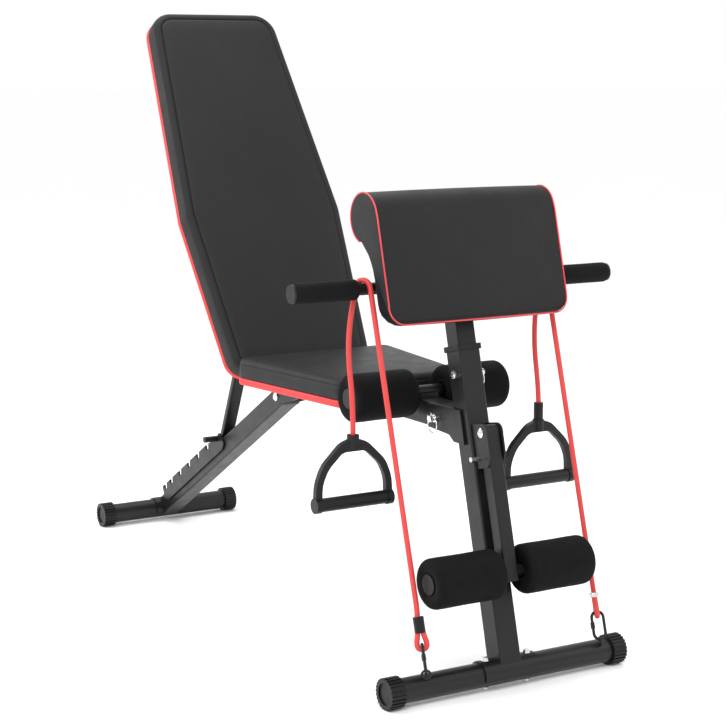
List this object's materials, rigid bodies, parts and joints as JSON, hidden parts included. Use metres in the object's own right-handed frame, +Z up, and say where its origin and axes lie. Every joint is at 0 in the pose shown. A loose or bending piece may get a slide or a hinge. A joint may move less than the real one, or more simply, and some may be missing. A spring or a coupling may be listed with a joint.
{
  "type": "decline sit up bench",
  "caption": "Foldable black bench with reclining padded backrest and seat, rack strut, preacher pad, foam leg rollers, handlebar and red elastic ropes with D handles",
  "frame": {"origin": "on the floor under the middle of the bench's overall box", "axes": "+Z up, +Y from the front post towards the backrest, +X across, to the right for someone facing +Y"},
  "size_m": [0.607, 1.3468, 1.0793],
  "materials": {
    "frame_paint": "satin powder coat",
    "zinc": "bright zinc plate",
    "upholstery": "smooth synthetic leather",
    "red_trim": "smooth red synthetic leather edge band",
    "board": "plywood under black non-woven cloth",
    "foam": "matte closed-cell foam",
    "grip_foam": "matte foam sleeve",
    "rope": "braided sheath over elastic",
    "black_metal": "gloss black",
    "handle_plastic": "satin moulded plastic",
    "black_plastic": "matte moulded plastic"
  },
  "bodies": {
    "frame": {"main_beam": "frame_paint", "rear_bracket": "frame_paint", "leg_pivot_bolt": "zinc", "seat_wings": "frame_paint", "upper_roller_shaft": "frame_paint", "upper_roller_caps": "black_plastic", "seat_board": "board", "seat_pad": "upholstery", "seat_band": "red_trim", "seat_bolts": "zinc", "front_fold_bolt": "zinc", "backrest_hinge_bolt": "zinc"},
    "front_post": {"front_post": "frame_paint", "front_foot_bolts": "zinc", "front_stabiliser": "frame_paint", "front_foot_caps": "black_plastic", "post_collar": "black_plastic", "front_bracket": "frame_paint", "arm_bracket": "frame_paint", "arm_pivot_bolt": "zinc", "carabiners": "black_metal", "rope_crimps": "black_plastic", "rope_front_left": "rope", "rope_front_right": "rope"},
    "preacher": {"preacher_post": "frame_paint", "pad_plate": "frame_paint", "preacher_pad": "upholstery", "handlebar": "frame_paint", "bar_grip_left": "grip_foam", "bar_grip_right": "grip_foam", "bar_end_plugs": "black_plastic"},
    "leg_arm": {"leg_arm": "frame_paint", "lower_roller_shaft": "frame_paint", "lower_roller_caps": "black_plastic"},
    "upper_roller_left": {"upper_roller_left": "foam"},
    "upper_roller_right": {"upper_roller_right": "foam"},
    "lower_roller_left": {"lower_roller_left": "foam"},
    "lower_roller_right": {"lower_roller_right": "foam"},
    "rear_leg": {"rear_leg_tube": "frame_paint", "rack_plates": "frame_paint", "rear_stabiliser": "frame_paint", "rear_foot_caps": "black_plastic"},
    "backrest": {"backrest_frame": "frame_paint", "backrest_board": "board", "backrest_pad": "upholstery", "backrest_band": "red_trim", "backrest_screws": "zinc", "strut_bolt": "zinc"},
    "strut": {"backrest_strut": "frame_paint"},
    "handle_left": {"d_handle_left": "handle_plastic", "rope_rear_left": "rope"},
    "handle_right": {"d_handle_right": "handle_plastic", "rope_rear_right": "rope", "handle_ferrule": "zinc"},
    "grip_left": {"handle_grip_left": "handle_plastic"},
    "grip_right": {"handle_grip_right": "handle_plastic"},
    "fold_pin": {"front_lock_pin": "zinc"},
    "leg_pin": {"leg_lock_pin": "zinc"},
    "height_pin": {"height_lock_pin": "zinc"},
    "arm_pin": {"arm_stop_pin": "zinc"}
  },
  "joints": [
    {"name": "front_post_fold", "type": "hinge", "parent": "frame", "child": "front_post", "pos_m": [0, -0.44533, 0.409], "axis": [1, 0, 0], "range_deg": [0, 80]},
    {"name": "rear_leg_fold", "type": "hinge", "parent": "frame", "child": "rear_leg", "pos_m": [0, 0.09467, 0.357], "axis": [-1, 0, 0], "range_deg": [0, 85]},
    {"name": "backrest_recline", "type": "hinge", "parent": "frame", "child": "backrest", "pos_m": [0, 0.07169, 0.39999], "axis": [-1, 0, 0], "range_deg": [0, 70.66]},
    {"name": "strut_swing", "type": "hinge", "parent": "backrest", "child": "strut", "pos_m": [0, 0.18846, 0.60565], "axis": [1, 0, 0], "range_deg": [0, 94.49]},
    {"name": "preacher_height", "type": "slide", "parent": "front_post", "child": "preacher", "axis": [0, 0.2521, 0.9677], "range_m": [-0.03, 0.06], "deforming": ["rope_front_left", "rope_front_right"]},
    {"name": "leg_extension_swing", "type": "hinge", "parent": "front_post", "child": "leg_arm", "pos_m": [0, -0.57741, 0.4026], "axis": [-1, 0, 0], "range_deg": [0, 85]},
    {"name": "upper_left_roller_spin", "type": "hinge", "parent": "frame", "child": "upper_roller_left", "pos_m": [-0.09, -0.38933, 0.4405], "axis": [1, 0, 0], "continuous": true},
    {"name": "upper_right_roller_spin", "type": "hinge", "parent": "frame", "child": "upper_roller_right", "pos_m": [0.09, -0.38933, 0.4405], "axis": [1, 0, 0], "continuous": true},
    {"name": "lower_left_roller_spin", "type": "hinge", "parent": "leg_arm", "child": "lower_roller_left", "pos_m": [-0.085, -0.63337, 0.18777], "axis": [1, 0, 0], "continuous": true},
    {"name": "lower_right_roller_spin", "type": "hinge", "parent": "leg_arm", "child": "lower_roller_right", "pos_m": [0.085, -0.63337, 0.18777], "axis": [1, 0, 0], "continuous": true},
    {"name": "left_handle_swing", "type": "hinge", "parent": "preacher", "child": "handle_left", "pos_m": [-0.18, -0.48003, 0.63165], "axis": [-1, 0, 0], "range_deg": [-25, 12]},
    {"name": "right_handle_swing", "type": "hinge", "parent": "preacher", "child": "handle_right", "pos_m": [0.175, -0.48003, 0.63165], "axis": [-1, 0, 0], "range_deg": [-25, 12]},
    {"name": "left_grip_spin", "type": "hinge", "parent": "handle_left", "child": "grip_left", "pos_m": [-0.1846, -0.46593, 0.29], "axis": [1, 0, 0], "continuous": true},
    {"name": "right_grip_spin", "type": "hinge", "parent": "handle_right", "child": "grip_right", "pos_m": [0.1785, -0.46593, 0.284], "axis": [1, 0, 0], "continuous": true},
    {"name": "fold_pin_pull", "type": "slide", "parent": "front_post", "child": "fold_pin", "axis": [-1, 0, 0], "range_m": [0, 0.02], "stiffness_N_per_m": 200},
    {"name": "leg_pin_pull", "type": "slide", "parent": "frame", "child": "leg_pin", "axis": [-1, 0, 0], "range_m": [0, 0.02], "stiffness_N_per_m": 200},
    {"name": "height_pin_pull", "type": "slide", "parent": "front_post", "child": "height_pin", "axis": [1, 0, 0], "range_m": [0, 0.02], "stiffness_N_per_m": 200},
    {"name": "arm_pin_pull", "type": "slide", "parent": "front_post", "child": "arm_pin", "axis": [1, 0, 0], "range_m": [0, 0.06]}
  ],
  "couplings": [
    {"joint": "strut_swing", "follows": "backrest_recline", "ratio": 1.3301}
  ]
}
